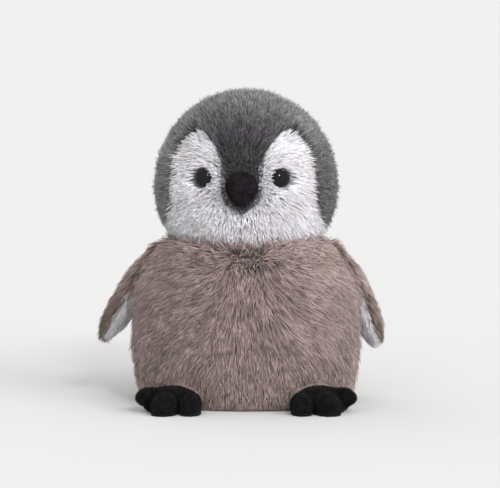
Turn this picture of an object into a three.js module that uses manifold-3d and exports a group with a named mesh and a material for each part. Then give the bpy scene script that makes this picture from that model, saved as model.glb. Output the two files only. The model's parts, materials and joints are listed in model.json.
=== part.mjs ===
// Plush penguin chick: a stuffed torso, a separately stuffed head, two flippers and two feet.
// Millimetres, +Z up, facing -Y, so the penguin's own left side is +X. Ground level is z = 0.
import * as THREE from 'three';
import { mergeVertices } from 'three/addons/utils/BufferGeometryUtils.js';
import Module from 'manifold-3d';

const wasm = await Module();
wasm.setup();

// ---- driving dimensions -------------------------------------------------------------------

const GAP = 0.3; // clearance between neighbouring fabric pieces
const PLUSH = 6; // thickness of plush fabric, backing and flattened pile together
const SEAM_ROOM = 0.5; // left outside the torso where a foot meets it
const FLAP_ROOM = 0.6; // left around a flipper that swings
const BEAK_ROOM = 0.4; // left around the beak where the plush is cut for it
const VELOUR = 1.2; // thickness of the short-pile fabric of beak and feet

const TORSO_SIDE = [
  [56, 0],
  [62, 5],
  [66, 15],
  [68.5, 35],
  [67.5, 53],
  [64, 71],
  [56, 86],
  [46, 98.5],
  [38, 106],
]; // half-width and height up the side of the torso
const TORSO_DEPTH_LOW = 0.85; // depth to width at the belly
const TORSO_DEPTH_NECK = 0.97; // and at the neck
const TORSO_SQUARENESS = 2.2; // 2 is an ellipse, more is boxier
const TORSO_TOP = 112;
const BASE_THICKNESS = 4;

const HEAD_Z = 133.5; // height of the head's centre, which is also the neck's turning point
const HEAD_RADIUS = 54.5;
const HEAD_CROWN = 57.5; // height of the crown above the head's centre
const NECK_DISH_RADIUS = 57; // hollow in the torso's top that the head sits in
const NECK_OPENING = 25; // radius of the opening under the head
const NECK_SEAM_RADIUS = 40; // radius of the ladder-stitched ring
const THREAD_RADIUS = 0.8;
const GUSSET_HALF_WIDTH = 26;
const GUSSET_FRONT_END = -13; // lowest point of the forehead gusset, from the head's centre
const FACE_TURN = -3; // degrees that the head rests turned, towards the penguin's right

const FACE_OUTLINE = [
  [24.5, 33],
  [17, 28],
  [11.2, 18.5],
  [11.4, 7],
  [9.8, -5],
  [0.15, -13],
  [0.15, -40],
  [22, -40],
  [41, -33],
  [45, -24.5],
  [39, -7.5],
  [37.2, 5.5],
  [35.5, 17],
  [31.5, 27.5],
]; // left face patch seen from the front, from the head's centre
const FACE_CORNERS = [5, 6]; // points of that outline that stay sharp

const EYE_RADIUS = 6;
const EYE_SIDE = 24.5; // sideways from the middle
const EYE_RISE = 8.4; // above the head's centre
const EYE_SEAT = 51.3; // from the head's centre to the back of the dome
const EYE_HEIGHT = 4.7;
const STEM_RADIUS = 2;
const STEM_END = 43.5;
const WASHER_RADIUS = 7;
const WASHER_INNER_FACE = 46.7;
const WASHER_OUTER_FACE = 48.1;

const BEAK_RADII = [9.2, 12.5, 9.6]; // half-width, length and half-height
const BEAK_FROM_HEAD = [0, -52, 1.9]; // root of the beak from the head's centre
const BEAK_DROOP = 4.5;
const BEAK_TAPER = 0.3; // share of its width that it loses towards the tip
const BEAK_NARROW = 0.35; // and towards its underside

const FLIPPER_LENGTH = 70;
const FLIPPER_ABOVE_SEAM = 2;
const FLIPPER_ROOT_CHORD = 19.5; // half-widths, front to back
const FLIPPER_TIP_CHORD = 13;
const FLIPPER_HALF_THICKNESS = 4.6;
const FLIPPER_PANEL = 1.6; // half of the thickness that the stuffing leaves to each panel
const FLIPPER_YAW = 15; // degrees that the front edge is turned outward
const SHOULDER = [51.2, 6, 97]; // middle of the flipper's seam, from the body's centre line
const FLIPPERS = { right: { side: -1, spread: 34, curl: 2 }, left: { side: 1, spread: 33, curl: 9 } };
const FLAP_RANGE = [-5, 75]; // degrees about the shoulder seam

const FOOT_HINGE = [42, -33, 3]; // middle of the foot's rear seam
const FOOT_YAW = 8; // degrees that the toes point outward
const FOOT_FLEX = 14; // degrees that the toes lift
const FOOT_STEPS = [5, 10, FOOT_FLEX]; // lifts that the torso is cut for
const FOOT_LUMPS = [
  { at: [0, -18.5, 5], radii: [18.5, 17, 11], turn: 0 },
  { at: [-13, -32, 4], radii: [7.2, 12, 10], turn: -4 },
  { at: [2.5, -35, 4], radii: [8.6, 12, 10.5], turn: 3 },
  { at: [13, -24, 9.2], radii: [6.4, 11, 6.6], turn: 44 },
]; // heel pad, inner, middle and outer toe of the left foot, from the hinge at ground level

const POUCH_RADII = [36, 30]; // pellet pouch, half-width and half-depth
const POUCH_HEIGHT = 18;
const LABEL_SIZE = [12, 0.6, 22];
const LABEL_PLACE = 118; // degrees round from straight ahead, on the left
const LABEL_FACING = 124; // degrees that its face points
const LABEL_REACH = 67.4; // from the body's centre line
const LABEL_TOP = 25;

// ---- solids -------------------------------------------------------------------------------

// A closed three.js geometry as a solid, with shared vertices merged and flat triangles dropped.
function toSolid(geometry) {
  const bare = geometry.clone();
  bare.deleteAttribute('normal');
  bare.deleteAttribute('uv');
  const merged = mergeVertices(bare, 1e-4);
  const corners = merged.index.array;
  const triangles = [];
  for (let i = 0; i < corners.length; i += 3) {
    const [a, b, c] = corners.slice(i, i + 3);
    if (a !== b && b !== c && c !== a) triangles.push(a, b, c);
  }
  const vertProperties = merged.attributes.position.array;
  const triVerts = new Uint32Array(triangles);
  return new wasm.Manifold(new wasm.Mesh({ numProp: 3, vertProperties, triVerts }));
}

function toGeometry(solid) {
  const mesh = solid.getMesh();
  const geometry = new THREE.BufferGeometry();
  geometry.setAttribute('position', new THREE.BufferAttribute(new Float32Array(mesh.vertProperties), 3));
  geometry.setIndex(new THREE.BufferAttribute(new Uint32Array(mesh.triVerts), 1));
  geometry.computeVertexNormals();
  return geometry;
}

// Moves every vertex of a geometry by a function that changes the point it is given.
function reshape(geometry, change) {
  const position = geometry.attributes.position;
  const point = new THREE.Vector3();
  for (let i = 0; i < position.count; i += 1) {
    point.fromBufferAttribute(position, i);
    change(point);
    position.setXYZ(i, point.x, point.y, point.z);
  }
  return geometry;
}

// A solid of revolution about Z from [radius, height] pairs given from bottom to top.
function lathe(profile, segments) {
  const points = profile.map(([radius, height]) => new THREE.Vector2(radius, height));
  return new THREE.LatheGeometry(points, segments).rotateX(Math.PI / 2);
}

function block(low, high) {
  const size = high.map((value, i) => value - low[i]);
  const box = new THREE.BoxGeometry(...size);
  return toSolid(box.translate(...low.map((value, i) => value + size[i] / 2)));
}

function ellipsoid(radii, segments, rings) {
  const ball = new THREE.SphereGeometry(1, segments, rings);
  return ball.rotateX(Math.PI / 2).scale(...radii);
}

function unionOf(solids) {
  return solids.reduce((sum, solid) => sum.add(solid));
}

// ---- torso --------------------------------------------------------------------------------

const WIDE = 200; // larger than any part, for half-space blocks
const TORSO_SEGMENTS = 24;
const TORSO_LEVELS = 9;

// The torso's outer form, or the same form brought in sideways by an inset.
function torsoForm(inset) {
  const side = new THREE.SplineCurve(TORSO_SIDE.map(([radius, height]) => new THREE.Vector2(radius, height)));
  const rim = side.getPoints(TORSO_LEVELS).map((point) => [point.x - inset, point.y]);
  const profile = [[0, 0], ...rim, [0, TORSO_TOP]];
  const form = reshape(lathe(profile, TORSO_SEGMENTS), (point) => {
    const angle = Math.atan2(point.y, point.x);
    const across = Math.abs(Math.cos(angle)) ** TORSO_SQUARENESS;
    const deep = Math.abs(Math.sin(angle)) ** TORSO_SQUARENESS;
    const stretch = (across + deep) ** (-1 / TORSO_SQUARENESS);
    const rise = THREE.MathUtils.smoothstep(point.z, TORSO_SIDE[3][1], TORSO_SIDE[7][1]);
    point.x *= stretch;
    point.y *= stretch * THREE.MathUtils.lerp(TORSO_DEPTH_LOW, TORSO_DEPTH_NECK, rise);
  });
  return toSolid(form);
}

const DISH_SEGMENTS = 24;
const POUCH_SEGMENTS = 20;
const POUCH_STEPS = 5;
const POUCH_FULLNESS = 0.6; // 1 is a dome, less is fuller at the sides

// The neck's hollow, drawn so that its flats stay outside the stated radius.
function neckDish() {
  const radius = NECK_DISH_RADIUS / Math.cos(Math.PI / DISH_SEGMENTS);
  const ball = ellipsoid([radius, radius, radius], DISH_SEGMENTS, DISH_SEGMENTS / 2);
  return toSolid(ball.translate(0, 0, HEAD_Z));
}

function pelletPouch(clearance) {
  const width = POUCH_RADII[0] + clearance;
  const height = POUCH_HEIGHT + clearance;
  const profile = [[0, 0]];
  for (let i = 0; i <= POUCH_STEPS; i += 1) {
    const angle = (i / POUCH_STEPS) * (Math.PI / 2);
    profile.push([width * Math.cos(angle) ** POUCH_FULLNESS, height * Math.sin(angle)]);
  }
  profile[profile.length - 1][0] = 0;
  const pillow = lathe(profile, POUCH_SEGMENTS).scale(1, POUCH_RADII[1] / POUCH_RADII[0], 1);
  return toSolid(pillow.translate(0, 0, BASE_THICKNESS + GAP));
}

function careLabel() {
  const place = THREE.MathUtils.degToRad(LABEL_PLACE);
  const [width, thickness, length] = LABEL_SIZE;
  const tag = new THREE.BoxGeometry(width, thickness, length);
  tag.rotateZ(THREE.MathUtils.degToRad(LABEL_FACING));
  tag.translate(Math.sin(place) * LABEL_REACH, -Math.cos(place) * LABEL_REACH, LABEL_TOP - length / 2);
  return toSolid(tag);
}

// ---- head ---------------------------------------------------------------------------------

const HEAD_SEGMENTS = 24;
const HEAD_RINGS = 12;
const PLUG_SEGMENTS = 20;
const PLUG_LOW = HEAD_Z - 80;
const PLUG_HIGH = HEAD_Z - 30;
const OUTLINE_POINTS = 18;
const CUT_DEPTH = HEAD_RADIUS + 5;
const NECK_FILL_INSET = 0.2; // that the filling stays inside the head's underside
const GUSSET_OVERLAP = 0.5; // that the front of the gusset's cutter runs into its back
const EYE_SEGMENTS = 12;
const DOME_STEPS = 4;

function headForm(inset) {
  const radius = HEAD_RADIUS - inset;
  const crown = HEAD_CROWN - inset;
  const ball = reshape(ellipsoid([1, 1, 1], HEAD_SEGMENTS, HEAD_RINGS), (point) => {
    const height = point.z > 0 ? crown : radius;
    point.set(point.x * radius, point.y * radius, point.z * height);
  });
  return toSolid(ball.translate(0, 0, HEAD_Z));
}

function neckPlug(radius) {
  const profile = [[0, PLUG_LOW], [radius, PLUG_LOW], [radius, PLUG_HIGH], [0, PLUG_HIGH]];
  return toSolid(lathe(profile, PLUG_SEGMENTS));
}

// The face patch's outline, smooth except at its named corners, moved outward by a distance.
function faceOutline(side, outward) {
  const [first, last] = FACE_CORNERS;
  const loop = [...FACE_OUTLINE.slice(last), ...FACE_OUTLINE.slice(0, first + 1)];
  const curve = new THREE.SplineCurve(loop.map(([x, z]) => new THREE.Vector2(x, z)));
  const points = curve.getPoints(OUTLINE_POINTS);
  const moved = points.map((point, i) => {
    const before = points[(i + points.length - 1) % points.length];
    const after = points[(i + 1) % points.length];
    const along = after.clone().sub(before).normalize();
    return new THREE.Vector2(side * (point.x + along.y * outward), point.y - along.x * outward);
  });
  return moved;
}

function facePatchCutter(side, outward) {
  const shape = new THREE.Shape(faceOutline(side, outward));
  const slab = new THREE.ExtrudeGeometry(shape, { depth: CUT_DEPTH, bevelEnabled: false });
  return toSolid(slab.rotateX(Math.PI / 2).translate(0, 0, HEAD_Z));
}

function gussetCutter(outward) {
  const half = GUSSET_HALF_WIDTH + outward;
  const front = block([-half, -WIDE, HEAD_Z + GUSSET_FRONT_END - outward], [half, GUSSET_OVERLAP, WIDE * 2]);
  const back = block([-half, -outward, 0], [half, WIDE, WIDE * 2]);
  return front.add(back);
}

function eyeDirection(side) {
  const forward = Math.sqrt(HEAD_RADIUS ** 2 - EYE_SIDE ** 2 - EYE_RISE ** 2);
  return new THREE.Vector3(side * EYE_SIDE, -forward, EYE_RISE).normalize();
}

// A solid of revolution on the eye's axis; heights are distances from the head's centre.
function onEyeAxis(profile, side) {
  const turn = new THREE.Quaternion().setFromUnitVectors(new THREE.Vector3(0, 0, 1), eyeDirection(side));
  return toSolid(lathe(profile, EYE_SEGMENTS).applyQuaternion(turn).translate(0, 0, HEAD_Z));
}

function eye(side) {
  const profile = [[0, STEM_END], [STEM_RADIUS, STEM_END], [STEM_RADIUS, EYE_SEAT]];
  for (let i = 0; i < DOME_STEPS; i += 1) {
    const angle = (i / DOME_STEPS) * (Math.PI / 2);
    profile.push([EYE_RADIUS * Math.cos(angle), EYE_SEAT + EYE_HEIGHT * Math.sin(angle)]);
  }
  profile.push([0, EYE_SEAT + EYE_HEIGHT]);
  return onEyeAxis(profile, side);
}

function eyeWasher(side) {
  const hole = STEM_RADIUS + GAP;
  const ring = [
    [hole, WASHER_INNER_FACE],
    [WASHER_RADIUS, WASHER_INNER_FACE],
    [WASHER_RADIUS, WASHER_OUTER_FACE],
    [hole, WASHER_OUTER_FACE],
    [hole, WASHER_INNER_FACE],
  ];
  return onEyeAxis(ring, side);
}

// The room that the eye and its washer need, cut from the face patch and from the stuffing.
function eyePocket(side) {
  const hole = STEM_RADIUS + GAP;
  const profile = [
    [0, STEM_END - GAP],
    [hole, STEM_END - GAP],
    [hole, WASHER_INNER_FACE - GAP],
    [WASHER_RADIUS + GAP, WASHER_INNER_FACE - GAP],
    [WASHER_RADIUS + GAP, WASHER_OUTER_FACE + GAP],
    [hole, WASHER_OUTER_FACE + GAP],
    [hole, EYE_SEAT - GAP],
    [EYE_RADIUS + GAP, EYE_SEAT - GAP],
    [EYE_RADIUS + GAP, CUT_DEPTH],
    [0, CUT_DEPTH],
  ];
  return onEyeAxis(profile, side);
}

const BEAK_SEGMENTS = 12;
const BEAK_RINGS = 8;

// The beak's form: an egg that droops, and narrows towards its tip and its underside.
function beakForm(inset) {
  const radii = BEAK_RADII.map((radius) => radius - inset);
  const egg = reshape(ellipsoid(radii, BEAK_SEGMENTS, BEAK_RINGS), (point) => {
    const reach = Math.max(0, -point.y / radii[1]);
    const below = Math.max(0, -point.z / radii[2]);
    point.z -= BEAK_DROOP * reach ** 2;
    point.x *= (1 - BEAK_TAPER * reach ** 2) * (1 - BEAK_NARROW * below);
  });
  const [x, y, z] = BEAK_FROM_HEAD;
  return toSolid(egg.translate(x, y, z + HEAD_Z));
}

// ---- flippers -----------------------------------------------------------------------------

const FLIPPER_SEGMENTS = 14;
const FLIPPER_RINGS = 10;
const FLIPPER_FULLNESS = 0.55; // 1 is an ellipsoid, less is fuller at both ends

// A flat paddle that hangs from its seam at the origin, chord along Y and thickness along X.
function flipperForm(curl, inset) {
  const paddle = reshape(ellipsoid([1, 1, 1], FLIPPER_SEGMENTS, FLIPPER_RINGS), (point) => {
    const along = (1 - point.z) / 2;
    const ring = Math.hypot(point.x, point.y);
    const fullness = ring > 1e-6 ? ring ** FLIPPER_FULLNESS / ring : 0;
    const chord = THREE.MathUtils.lerp(FLIPPER_ROOT_CHORD, FLIPPER_TIP_CHORD, along ** 2) - inset;
    const length = FLIPPER_LENGTH + FLIPPER_ABOVE_SEAM - 2 * inset;
    point.x = point.x * fullness * (FLIPPER_HALF_THICKNESS - inset) - curl * along ** 2;
    point.y = point.y * fullness * chord;
    point.z = FLIPPER_ABOVE_SEAM - inset - along * length;
  });
  return paddle;
}

// Puts a flipper's geometry at its shoulder, raised by an angle in degrees from rest.
function atShoulder(geometry, flipper, raise) {
  const { side, spread } = flipper;
  const turn = THREE.MathUtils.degToRad;
  geometry.rotateY(-side * turn(spread + raise));
  geometry.rotateZ(side * turn(FLIPPER_YAW));
  return toSolid(geometry.translate(side * SHOULDER[0], SHOULDER[1], SHOULDER[2]));
}

// A whole flipper brought in by an inset; its curl bends the tip towards the body.
function flipperSolid(flipper, inset, raise) {
  return atShoulder(flipperForm(flipper.curl * flipper.side, inset), flipper, raise);
}

const HALF_DEPTH = 30;
const HALF_STEPS = 12;

// The half of a flipper's thickness that faces out (sign 1) or in (sign -1), bent with its curl.
function flipperHalf(flipper, sign) {
  const { side, curl } = flipper;
  const slab = new THREE.BoxGeometry(HALF_DEPTH, WIDE, WIDE, 1, 1, HALF_STEPS);
  slab.translate((side * sign * (HALF_DEPTH + GAP)) / 2, 0, 0);
  const length = FLIPPER_LENGTH + FLIPPER_ABOVE_SEAM;
  reshape(slab, (point) => {
    const along = THREE.MathUtils.clamp((FLIPPER_ABOVE_SEAM - point.z) / length, 0, 1);
    point.x -= curl * side * along ** 2;
  });
  return atShoulder(slab, flipper, 0);
}

const FLAP_STEPS = 5;

// The room that a flipper sweeps over its range, cut from the torso.
function flipperRoom(flipper) {
  const [lowest, highest] = FLAP_RANGE;
  const raises = [0];
  for (let i = 0; i <= FLAP_STEPS; i += 1) raises.push(THREE.MathUtils.lerp(lowest, highest, i / FLAP_STEPS));
  return unionOf(raises.map((raise) => flipperSolid(flipper, -FLAP_ROOM, raise)));
}

// ---- feet ---------------------------------------------------------------------------------

const LUMP_SEGMENTS = 10;
const LUMP_RINGS = 5;

// A foot's form brought in by an inset, with its toes lifted by an angle in degrees.
function footForm(side, inset, flex) {
  const turn = THREE.MathUtils.degToRad;
  const lumps = FOOT_LUMPS.map(({ at, radii, turn: splay }) => {
    const lump = ellipsoid(radii.map((radius) => radius - inset), LUMP_SEGMENTS, LUMP_RINGS);
    lump.rotateZ(side * turn(splay));
    return toSolid(lump
      .translate(side * at[0], at[1], at[2] - FOOT_HINGE[2])
      .rotateX(-turn(flex))
      .rotateZ(side * turn(FOOT_YAW))
      .translate(side * FOOT_HINGE[0], FOOT_HINGE[1], FOOT_HINGE[2]));
  });
  return unionOf(lumps);
}

// ---- assembly -----------------------------------------------------------------------------

const BROWN = 0x96857f;
const GREY = 0x58565a;
const WHITE = 0xe4e4e8;
const BLACK = 0x1c1b1c;
const FIBRE = 0xf2f1ec;

const THREAD_SEGMENTS = 6;
const RING_SEGMENTS = 24;

const penguin = new THREE.Group();

function subGroup() {
  const group = new THREE.Group();
  penguin.add(group);
  return group;
}

function addNode(group, name, solid, color, roughness) {
  const material = new THREE.MeshStandardMaterial({ color, roughness, metalness: 0 });
  const mesh = new THREE.Mesh(toGeometry(solid), material);
  mesh.name = name;
  group.add(mesh);
}

const dish = neckDish();
const flipperRooms = unionOf(Object.values(FLIPPERS).map(flipperRoom));
const footSides = { right: -1, left: 1 };
const torsoClearance = torsoForm(-SEAM_ROOM);
const footRooms = unionOf(FOOT_STEPS.flatMap((flex) => [
  footForm(footSides.right, -SEAM_ROOM, flex),
  footForm(footSides.left, -SEAM_ROOM, flex),
]));
const rooms = flipperRooms.add(footRooms).add(dish);

const torso = subGroup();
const torsoOuter = torsoForm(0);
const aboveBase = block([-WIDE, -WIDE, BASE_THICKNESS + GAP], [WIDE, WIDE, WIDE]);
const torsoShell = torsoOuter.subtract(torsoForm(PLUSH)).intersect(aboveBase).subtract(rooms);
for (const [end, near, far] of [['front', -WIDE, -GAP / 2], ['back', GAP / 2, WIDE]]) {
  for (const [name, side] of Object.entries(footSides)) {
    const inner = side * (GAP / 2);
    const outer = side * WIDE;
    const low = [Math.min(inner, outer), near, -WIDE];
    const high = [Math.max(inner, outer), far, WIDE];
    addNode(torso, `body_${end}_${name}`, torsoShell.intersect(block(low, high)), BROWN, 0.95);
  }
}
const bottomSlab = block([-WIDE, -WIDE, -1], [WIDE, WIDE, BASE_THICKNESS]);
addNode(torso, 'body_base', torsoOuter.intersect(bottomSlab).subtract(footRooms), BROWN, 0.95);
addNode(torso, 'pellet_pouch', pelletPouch(0), FIBRE, 0.9);
const stuffingRoom = torsoForm(PLUSH + GAP).intersect(aboveBase).subtract(pelletPouch(GAP));
addNode(torso, 'body_stuffing', stuffingRoom.subtract(footRooms).subtract(dish), FIBRE, 1);
addNode(torso, 'care_label', careLabel(), WHITE, 0.8);

const neck = subGroup();
const seamDrop = Math.sqrt(((HEAD_RADIUS + NECK_DISH_RADIUS) / 2) ** 2 - NECK_SEAM_RADIUS ** 2);
const stitchRing = new THREE.TorusGeometry(NECK_SEAM_RADIUS, THREAD_RADIUS, THREAD_SEGMENTS, RING_SEGMENTS);
addNode(neck, 'neck_stitching', toSolid(stitchRing.translate(0, 0, HEAD_Z - seamDrop)), GREY, 0.9);

const head = subGroup();

// Adds a piece of the head, which rests turned by FACE_TURN about the neck.
function addHeadNode(name, solid, color, roughness) {
  addNode(head, name, solid.rotate([0, 0, FACE_TURN]), color, roughness);
}

const headOuter = headForm(0);
const eyePockets = eyePocket(1).add(eyePocket(-1));
const beakRoom = beakForm(-BEAK_ROOM);
const headShell = headOuter
  .subtract(headForm(PLUSH))
  .subtract(neckPlug(NECK_OPENING))
  .subtract(eyePockets)
  .subtract(beakRoom);
const patchRooms = facePatchCutter(1, GAP).add(facePatchCutter(-1, GAP));
const crownGusset = headShell.intersect(gussetCutter(0)).subtract(patchRooms);
addHeadNode('head_gusset', crownGusset, GREY, 0.95);
for (const [name, side] of Object.entries(footSides)) {
  const inner = side * (GAP / 2);
  const outer = side * WIDE;
  const half = block([Math.min(inner, outer), -WIDE, -WIDE], [Math.max(inner, outer), WIDE, WIDE * 2]);
  const panel = headShell.intersect(half).subtract(gussetCutter(GAP)).subtract(patchRooms);
  addHeadNode(`head_side_${name}`, panel, GREY, 0.95);
  addHeadNode(`face_patch_${name}`, headShell.intersect(facePatchCutter(side, 0)), WHITE, 0.95);
  addHeadNode(`eye_${name}`, eye(side), BLACK, 0.08);
  addHeadNode(`eye_washer_${name}`, eyeWasher(side), FIBRE, 0.5);
}
const neckFill = neckPlug(NECK_OPENING - GAP).intersect(headForm(NECK_FILL_INSET));
const headFill = headForm(PLUSH + GAP).add(neckFill);
addHeadNode('head_stuffing', headFill.subtract(eyePockets), FIBRE, 1);
const beakBack = headForm(PLUSH - GAP);
const beakCover = beakForm(0).subtract(beakForm(VELOUR)).subtract(beakBack);
addHeadNode('beak_cover', beakCover, BLACK, 0.9);
addHeadNode('beak_stuffing', beakForm(VELOUR + GAP).subtract(beakBack), FIBRE, 1);

for (const [name, flipper] of Object.entries(FLIPPERS)) {
  const group = subGroup();
  const whole = flipperSolid(flipper, 0, 0);
  const shell = whole.subtract(flipperSolid(flipper, FLIPPER_PANEL + GAP, 0));
  addNode(group, `flipper_${name}_outer`, shell.intersect(flipperHalf(flipper, 1)), BROWN, 0.95);
  addNode(group, `flipper_${name}_inner`, shell.intersect(flipperHalf(flipper, -1)), WHITE, 0.95);
  addNode(group, `flipper_${name}_stuffing`, flipperSolid(flipper, FLIPPER_PANEL + 2 * GAP, 0), FIBRE, 1);
}

const overSole = block([-WIDE, -WIDE, VELOUR + GAP], [WIDE, WIDE, WIDE]);
const soleSlab = block([-WIDE, -WIDE, 0], [WIDE, WIDE, VELOUR]);
for (const [name, side] of Object.entries(footSides)) {
  const group = subGroup();
  const form = footForm(side, 0, 0).subtract(torsoClearance);
  const hollow = footForm(side, VELOUR, 0);
  const upper = form.intersect(overSole).subtract(hollow);
  addNode(group, `foot_${name}_upper`, upper, BLACK, 0.9);
  addNode(group, `foot_${name}_sole`, form.intersect(soleSlab), BLACK, 0.9);
  const fill = footForm(side, VELOUR + GAP, 0).intersect(overSole);
  addNode(group, `foot_${name}_stuffing`, fill.subtract(torsoForm(-SEAM_ROOM - VELOUR - GAP)), FIBRE, 1);
}

export default penguin;
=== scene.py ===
# Looks for the plush penguin: real strands of fur on sewn backings, velour feet and beak,
# glossy eyes, and the filling inside. Lengths are in millimetres until a mesh is made.
import json
import math
import bmesh
import bpy
import numpy as np
from mathutils import Matrix, Vector, kdtree


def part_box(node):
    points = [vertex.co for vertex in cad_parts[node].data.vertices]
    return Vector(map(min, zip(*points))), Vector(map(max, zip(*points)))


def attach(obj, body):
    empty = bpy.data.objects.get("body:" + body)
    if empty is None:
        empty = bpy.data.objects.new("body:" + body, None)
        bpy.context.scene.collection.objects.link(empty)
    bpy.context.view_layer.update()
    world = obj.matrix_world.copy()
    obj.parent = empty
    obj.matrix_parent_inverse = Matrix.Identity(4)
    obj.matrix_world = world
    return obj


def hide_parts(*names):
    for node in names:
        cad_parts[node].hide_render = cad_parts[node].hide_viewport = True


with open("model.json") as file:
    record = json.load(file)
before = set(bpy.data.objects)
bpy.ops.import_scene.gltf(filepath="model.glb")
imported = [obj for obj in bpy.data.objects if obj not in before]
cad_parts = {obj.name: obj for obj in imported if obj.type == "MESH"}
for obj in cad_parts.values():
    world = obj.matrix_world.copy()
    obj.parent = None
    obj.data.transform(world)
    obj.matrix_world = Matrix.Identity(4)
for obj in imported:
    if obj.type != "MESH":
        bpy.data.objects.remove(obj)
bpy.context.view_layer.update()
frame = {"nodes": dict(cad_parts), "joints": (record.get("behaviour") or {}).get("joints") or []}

MM = 0.001
SIDES = {"left": 1, "right": -1}
joints = {joint["name"]: joint for joint in frame["joints"]}


def joint_place(name):
    return np.array(joints[name]["pos_m"]) / MM


# ---- sizes shared with the solids ----

HEAD_CENTRE = joint_place("head_nod")
HEAD_RADIUS = 54.5
HEAD_CROWN = 57.5  # from the head's centre to its top
PLUSH = 6.0  # thickness of a plush panel's solid
ROOT_INSET = 5.6  # how far under the solids' faces the strands start
BROWN_DENSITY = 2.2  # strands to the square millimetre
HEAD_DENSITY = 2.5
BEAK_PILE_DENSITY = 5.0
FOOT_PILE_DENSITY = 2.6
TORSO_SIDE = np.array([  # half-width and height
    [56, 0], [62, 5], [66, 15], [68.5, 35], [67.5, 53],
    [64, 71], [56, 86], [46, 98.5], [38, 106],
])
TORSO_DEPTH_LOW = 0.85  # depth as a share of width
TORSO_DEPTH_NECK = 0.97
TORSO_SQUARENESS = 2.2  # 2 is an ellipse
GUSSET_HALF_WIDTH = 26.0
GUSSET_FRONT_END = -13.0
FACE_TURN = -3.0  # degrees that the head rests turned
FACE_OUTLINE = np.array([  # of a white patch, across and up from the head's centre
    [24.5, 33], [17, 28], [11.2, 18.5], [11.4, 7], [9.8, -5], [0.15, -13],
    [0.15, -40], [22, -40], [41, -33], [45, -24.5], [39, -7.5], [37.2, 5.5], [35.5, 17], [31.5, 27.5],
])
EYE_SIDE = 24.5  # across and up from the head's centre
EYE_RISE = 8.4
EYE_RADIUS = 6.0
EYE_SEAT = 51.3  # from the head's centre
EYE_HEIGHT = 4.7
BEAK_RADII = np.array([9.2, 12.5, 9.6])
BEAK_ROOT = np.array([0, -52, 1.9])  # from the head's centre
BEAK_DROOP = 4.5
BEAK_TAPER = 0.3
BEAK_NARROW = 0.35
FLIPPER_LENGTH = 70.0
FLIPPER_ABOVE_SEAM = 2.0
FLIPPER_ROOT_CHORD = 19.5
FLIPPER_TIP_CHORD = 13.0
FLIPPER_HALF_THICKNESS = 4.6
FLIPPER_YAW = 15.0
FLIPPER_POSE = {"right": (34.0, 2.0), "left": (33.0, 9.0)}  # spread in degrees, curl in mm
FLIPPER_WHITE_FROM = {"right": 1.1, "left": 0.9}  # share along it where white fur takes over
FOOT_YAW = 8.0
FOOT_LUMPS = [  # centre from the hinge, radii, and splay in degrees: the heel and three toes
    ((0, -18.5, 5), (18.5, 17, 11), 0),
    ((-13, -32, 4), (7.2, 12, 10), -4),
    ((2.5, -35, 4), (8.6, 12, 10.5), 3),
    ((13, -24, 9.2), (6.4, 11, 6.6), 44),
]
LABEL_WIDTH = 12.0
LABEL_FOLDED = 21.5
LABEL_PLACE = 118.0  # degrees round from straight ahead, on the left
LABEL_FACING = 124.0
LABEL_REACH = 67.4  # from the body's axis
LABEL_LOW = 3.2


# ---- small mathematics ----

def unit(vectors):
    length = np.linalg.norm(vectors, axis=-1, keepdims=True)
    return vectors / np.maximum(length, 1e-9)


def full_turn(count):
    """Angles spaced evenly round a full turn."""
    return np.linspace(0, 2 * math.pi, count, endpoint=False)


def ease(low, high, value):
    """0 below low, 1 above high, and smooth between."""
    t = np.clip((value - low) / (high - low), 0, 1)
    return t * t * (3 - 2 * t)


def spline(points, per_span):
    """A smooth curve through the points, which passes its ends."""
    padded = np.vstack([2 * points[0] - points[1], points, 2 * points[-1] - points[-2]])
    t = np.linspace(0, 1, per_span, endpoint=False)[:, None]
    spans = []
    for i in range(len(points) - 1):
        a, b, c, d = padded[i:i + 4]
        spans.append(0.5 * (2 * b + (c - a) * t + (2 * a - 5 * b + 4 * c - d) * t**2
                            + (3 * b - a - 3 * c + d) * t**3))
    spans.append(points[-1:])
    return np.vstack(spans)


def turned(points, axis, degrees):
    """Points turned about an axis through the origin."""
    matrix = np.array(Matrix.Rotation(math.radians(degrees), 3, axis))
    return points @ matrix.T


def inside_outline(x, z, outline):
    """Which points lie inside a closed outline, by counting its crossings."""
    inside = np.zeros(len(x), bool)
    x1, z1 = outline[-1]
    for x2, z2 in outline:
        crosses = (z1 > z) != (z2 > z)
        if z1 != z2:
            inside ^= crosses & (x < (x2 - x1) * (z - z1) / (z2 - z1) + x1)
        x1, z1 = x2, z2
    return inside


# ---- mesh helpers ----

def link(mesh, name):
    piece = bpy.data.objects.new(name, mesh)
    bpy.context.scene.collection.objects.link(piece)
    return piece


def make_mesh(name, points, faces):
    mesh = bpy.data.meshes.new(name)
    mesh.from_pydata((np.asarray(points) * MM).tolist(), [], [list(face) for face in faces])
    mesh.validate()
    form = bmesh.new()
    form.from_mesh(mesh)
    bmesh.ops.recalc_face_normals(form, faces=form.faces)
    form.to_mesh(mesh)
    form.free()
    mesh.polygons.foreach_set("use_smooth", [True] * len(mesh.polygons))
    return link(mesh, name)


def grid_faces(rows, columns):
    """Quads of a grid whose rows close on themselves."""
    faces = []
    for row in range(rows - 1):
        for column in range(columns):
            after = (column + 1) % columns
            faces.append((row * columns + column, row * columns + after,
                          (row + 1) * columns + after, (row + 1) * columns + column))
    return faces


def capped_faces(rows, columns):
    """Quads of a grid as above, with a face over each open end."""
    ends = [tuple(range(columns))[::-1], tuple(range((rows - 1) * columns, rows * columns))]
    return grid_faces(rows, columns) + ends


def ring_faces(rows, columns):
    """Quads of a grid as above, whose last row also joins its first."""
    last = (rows - 1) * columns
    closing = [(last + i, last + (i + 1) % columns, (i + 1) % columns, i) for i in range(columns)]
    return grid_faces(rows, columns) + closing


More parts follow.
